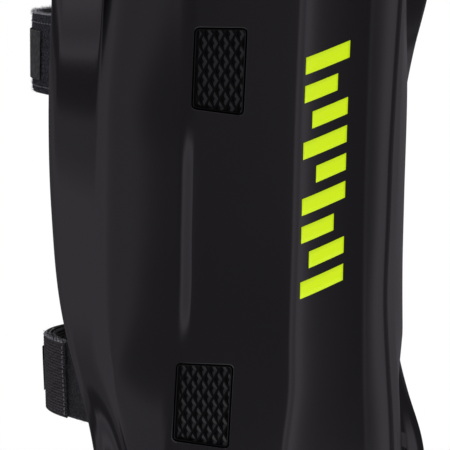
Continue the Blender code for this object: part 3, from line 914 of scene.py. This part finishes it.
def build_tapes(routes, materials):
    """The fuzzy loop tapes, each with fibres on its face and a fringe on its top edge."""
    for node, strap, start, end, seed, count, material in TAPES:
        route = routes[strap.name]
        layer = Layer(start, end, TAPE_OFFSET, TAPE_THICK, STRAP_HEIGHT, 0.0)
        made = band(node + "_pile", route, layer, PILE, materials[material], seed)
        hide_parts(node)
        places = face_places(route, layer, FACE_FIBRES, seed)
        made = fibres(node + "_fibres", *places, FACE_FIBRE, materials["fibre"], seed)
        places = edge_places(route, layer, count, seed + FRINGE_SEEDS)
        made = fibres(node + "_fringe", *places, FRINGE_FIBRE, materials["fringe"], seed)


def build_straps(materials):
    routes = {strap.name: Route(strap) for strap in (UPPER, LOWER)}
    for strap in (UPPER, LOWER):
        name = f"{strap.name}_webbing"
        made = band(name, routes[strap.name], WHOLE_BAND, WEBBING, materials["webbing"])
        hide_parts(f"{strap.name}_strap")
    build_tapes(routes, materials)
    made = band("lower_strap_folded_end", routes["lower"], OVERLAP, WEBBING, materials["webbing"])
    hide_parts("lower_strap_overlap")
    places = edge_places(routes["lower"], OVERLAP_FRINGE, OVERLAP_FIBRES, OVERLAP_SEED)
    made = fibres("lower_strap_fringe", *places, OVERLAP_FIBRE, materials["fringe"], OVERLAP_SEED)
    for node, strap, start, end, under, tall, rise in TABS:
        offset = under + GAP + TAB_THICK / 2
        layer = Layer(start, end, offset, TAB_THICK, tall * STRAP_HEIGHT, rise * STRAP_HEIGHT)
        made = band(node + "_strip", routes[strap.name], layer, MOULDING, materials["tab"])
        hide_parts(node)
    made = stitches("upper_strap_thread", routes["upper"], UPPER_SEAMS, TAPE_TOP, materials["thread"])
    made = stitches("lower_strap_thread", routes["lower"], LOWER_SEAMS, OVERLAP_TOP, materials["thread"])


def build_print(material):
    """Slanted bars on the front panel."""
    pitch = (PRINT_HIGH - PRINT_LOW) / PRINT_BARS
    wide = PRINT_RIGHT - PRINT_LEFT
    ways = np.linspace(0, 2, PRINT_STATIONS)
    points, faces = [], []
    for bar in range(PRINT_BARS):
        start, end = PRINT_SPANS[bar % len(PRINT_SPANS)]
        left, right = PRINT_LEFT + start * wide, PRINT_LEFT + end * wide
        low = PRINT_LOW + bar * pitch
        first = len(points)
        for row in range(PRINT_ROWS):
            for column in range(PRINT_COLUMNS):
                x = left + (right - left) * column / (PRINT_COLUMNS - 1)
                rise = pitch * PRINT_FILL * row / (PRINT_ROWS - 1)
                z = low + rise + PRINT_SLANT * (x - PRINT_LEFT) - PRINT_DROP
                section = skin(np.full(len(ways), z / HEIGHT), ways)
                depth = np.interp(abs(x), section[:, 0], section[:, 1])
                points.append((x, depth + SHIFT - PRINT_THICK / 2 - PRINT_PROUD, z))
        faces += grid_faces(PRINT_ROWS, PRINT_COLUMNS, first=first)
    made = link("panel_print", mesh_from("panel_print", points, faces), material)
    thick = made.modifiers.new("thickness", "SOLIDIFY")
    thick.thickness = PRINT_THICK
    thick.offset = 0.0
    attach(made, "root")


def add_bump(tree, shader, height, strength, distance):
    bump = tree.nodes.new("ShaderNodeBump")
    bump.inputs["Strength"].default_value = strength
    bump.inputs["Distance"].default_value = distance
    tree.links.new(height, bump.inputs["Height"])
    tree.links.new(bump.outputs["Normal"], shader.inputs["Normal"])


def add_noise(tree, scale, detail):
    place_in = tree.nodes.new("ShaderNodeTexCoord")
    noise = tree.nodes.new("ShaderNodeTexNoise")
    noise.inputs["Scale"].default_value = scale
    noise.inputs["Detail"].default_value = detail
    tree.links.new(place_in.outputs["Object"], noise.inputs["Vector"])
    return noise.outputs["Fac"]


def add_range(tree, value, kind, low, high):
    """A value run between two ends: From takes them for its own, and To gives it them."""
    made = tree.nodes.new("ShaderNodeMapRange")
    made.inputs[kind + " Min"].default_value = low
    made.inputs[kind + " Max"].default_value = high
    tree.links.new(value, made.inputs["Value"])
    return made.outputs["Result"]


def add_mix(tree, value, first, second):
    made = tree.nodes.new("ShaderNodeMix")
    made.data_type = "RGBA"
    made.inputs["A"].default_value = (*first, 1.0)
    made.inputs["B"].default_value = (*second, 1.0)
    tree.links.new(value, made.inputs["Factor"])
    return made.outputs["Result"]


def grained(name, scale, detail, dark, light, spread=False):
    """A material whose shades run from dark to light over a noise, spread out or as it is."""
    made = bpy.data.materials.new(name)
    made.use_nodes = True
    tree = made.node_tree
    shader = tree.nodes["Principled BSDF"]
    grain = shade = add_noise(tree, scale, detail)
    if spread:
        shade = add_range(tree, grain, "From", 0.5 - NOISE_REACH, 0.5 + NOISE_REACH)
    tree.links.new(add_mix(tree, shade, dark, light), shader.inputs["Base Color"])
    return made, tree, shader, grain


def plastic_material():
    """Satin black moulded plastic with faint flow marks and the finest grain."""
    shades = (0.0066, 0.0060, 0.0070), (0.0082, 0.0076, 0.0088)
    made, tree, shader, flow = grained("moulded_plastic", 14.0, 4.0, *shades)
    tree.links.new(add_range(tree, flow, "To", 0.17, 0.21), shader.inputs["Roughness"])
    add_bump(tree, shader, add_noise(tree, 900.0, 2.0), 0.05, 0.0002)
    return made


def rubber_material(name, dark, light, rough, specular):
    """Moulded rubber: matt, or lighter and glossier as a painted sheen."""
    made, tree, shader, grain = grained(name, 700.0, 2.0, dark, light)
    tree.links.new(add_range(tree, grain, "To", *rough), shader.inputs["Roughness"])
    shader.inputs["Specular IOR Level"].default_value = specular
    add_bump(tree, shader, grain, 0.12, 0.0002)
    return made


def strap_material(look):
    made, tree, shader, grain = grained(*look[1:4], look.dark, look.light, look.spread)
    shader.inputs["Roughness"].default_value = look.rough
    if look.relief:
        add_bump(tree, shader, grain, look.relief, look.relief_depth)
    return made


def glowing(name, scale, dark, light, rough, glow, strength):
    """A material that gives off a little light of its own."""
    made, _, shader, _ = grained(name, scale, 2.0, dark, light)
    shader.inputs["Roughness"].default_value = rough
    shader.inputs["Emission Color"].default_value = (*glow, 1.0)
    shader.inputs["Emission Strength"].default_value = strength
    return made


def build_floor():
    bpy.ops.mesh.primitive_circle_add(vertices=FLOOR_SIDES, radius=FLOOR_RADIUS, fill_type="NGON")
    floor = bpy.context.object
    floor.name = "floor"
    shades = (0.88, 0.88, 0.88), (0.90, 0.90, 0.90)
    floor.data.materials.append(glowing("pale_floor", 40.0, *shades, 0.9, (1.0, 1.0, 1.0), 0.60))


def build_world():
    """The studio for what the guard reflects and takes its light from, and plain white behind it."""
    world = bpy.data.worlds.new("studio")
    bpy.context.scene.world = world
    world.use_nodes = True
    tree = world.node_tree
    tree.nodes.clear()
    add, join = tree.nodes.new, tree.links.new
    split = add("ShaderNodeSeparateXYZ")
    join(add("ShaderNodeTexCoord").outputs["Generated"], split.inputs["Vector"])
    back = add("ShaderNodeMath")
    back.operation = "MULTIPLY"
    back.inputs[1].default_value = -1.0
    join(split.outputs["Y"], back.inputs[0])
    angle = add("ShaderNodeMath")
    angle.operation = "ARCTAN2"
    join(split.outputs["X"], angle.inputs[0])
    join(back.outputs["Value"], angle.inputs[1])
    turn = add_range(tree, angle.outputs["Value"], "From", -math.pi, math.pi)
    ramp = add("ShaderNodeValToRGB")
    ramp.color_ramp.interpolation = "EASE"
    stops = ramp.color_ramp.elements
    for number, (azimuth, light) in enumerate(STUDIO):
        at = (azimuth + 180) / 360
        stop = stops[number] if number < 2 else stops.new(at)
        stop.position = at
        stop.color = (*(light * tint for tint in STUDIO_TINT), 1.0)
    join(turn, ramp.inputs["Fac"])
    studio = add("ShaderNodeBackground")
    join(ramp.outputs["Color"], studio.inputs["Color"])
    backdrop = add("ShaderNodeBackground")
    backdrop.inputs["Color"].default_value = (1.0, 1.0, 1.0, 1.0)
    mix = add("ShaderNodeMixShader")
    join(add("ShaderNodeLightPath").outputs["Is Camera Ray"], mix.inputs["Fac"])
    join(studio.outputs["Background"], mix.inputs[1])
    join(backdrop.outputs["Background"], mix.inputs[2])
    join(mix.outputs["Shader"], add("ShaderNodeOutputWorld").inputs["Surface"])


def build_light():
    """A soft disk of light over the guard."""
    light = bpy.data.lights.new("overhead", "AREA")
    light.shape = "DISK"
    light.size = LIGHT_SIZE
    light.energy = LIGHT_POWER
    made = bpy.data.objects.new("overhead", light)
    bpy.context.scene.collection.objects.link(made)
    made.location = LIGHT_AT
    made.rotation_euler = (Vector(LIGHT_AIM) - Vector(LIGHT_AT)).to_track_quat("-Z", "Y").to_euler()


def build_camera():
    azimuth, rise = VIEW_AZIMUTH, VIEW_ELEVATION
    right = Vector((math.cos(azimuth), math.sin(azimuth), 0))
    back = Vector((math.sin(azimuth) * math.cos(rise), -math.cos(azimuth) * math.cos(rise), math.sin(rise)))
    aim = Vector((0, SHIFT, AIM_HEIGHT)) + AIM_ASIDE * right
    camera = bpy.data.cameras.new("camera")
    camera.lens = VIEW_LENS
    camera.sensor_width = SENSOR
    made = bpy.data.objects.new("camera", camera)
    bpy.context.scene.collection.objects.link(made)
    made.location = aim + VIEW_DISTANCE * back
    made.rotation_euler = (-back).to_track_quat("-Z", "Y").to_euler()
    bpy.context.scene.camera = made


def main():
    bpy.context.scene.view_settings.view_transform = "Standard"
    matt_shades = (0.0008, 0.0008, 0.0011), (0.0016, 0.0016, 0.0020)
    matt = rubber_material("insert_matt", *matt_shades, (0.40, 0.50), 0.10)
    # The rear-facing pit walls get a painted sheen: a lighter, glossier copy of the insert's rubber
    painted_sheen_shades = (0.0030, 0.0030, 0.0034), (0.0050, 0.0050, 0.0056)
    painted_sheen_rubber = rubber_material("insert_painted_sheen", *painted_sheen_shades, (0.24, 0.34), 0.46)
    build_shell(plastic_material())
    # The print's colour is its own; its faint glow is painted light, as the ink is no lamp
    ink_shades = (0.70, 1.0, 0.0), (0.76, 1.0, 0.004)
    build_print(glowing("neon_ink_painted_glow", 300.0, *ink_shades, 0.45, (0.70, 1.0, 0.0), 0.35))
    build_insert(UPPER, matt, painted_sheen_rubber)
    build_insert(LOWER, matt, painted_sheen_rubber)
    build_straps({look.use: strap_material(look) for look in STRAP_LOOKS})
    build_floor()
    build_world()
    build_light()
    build_camera()


main()
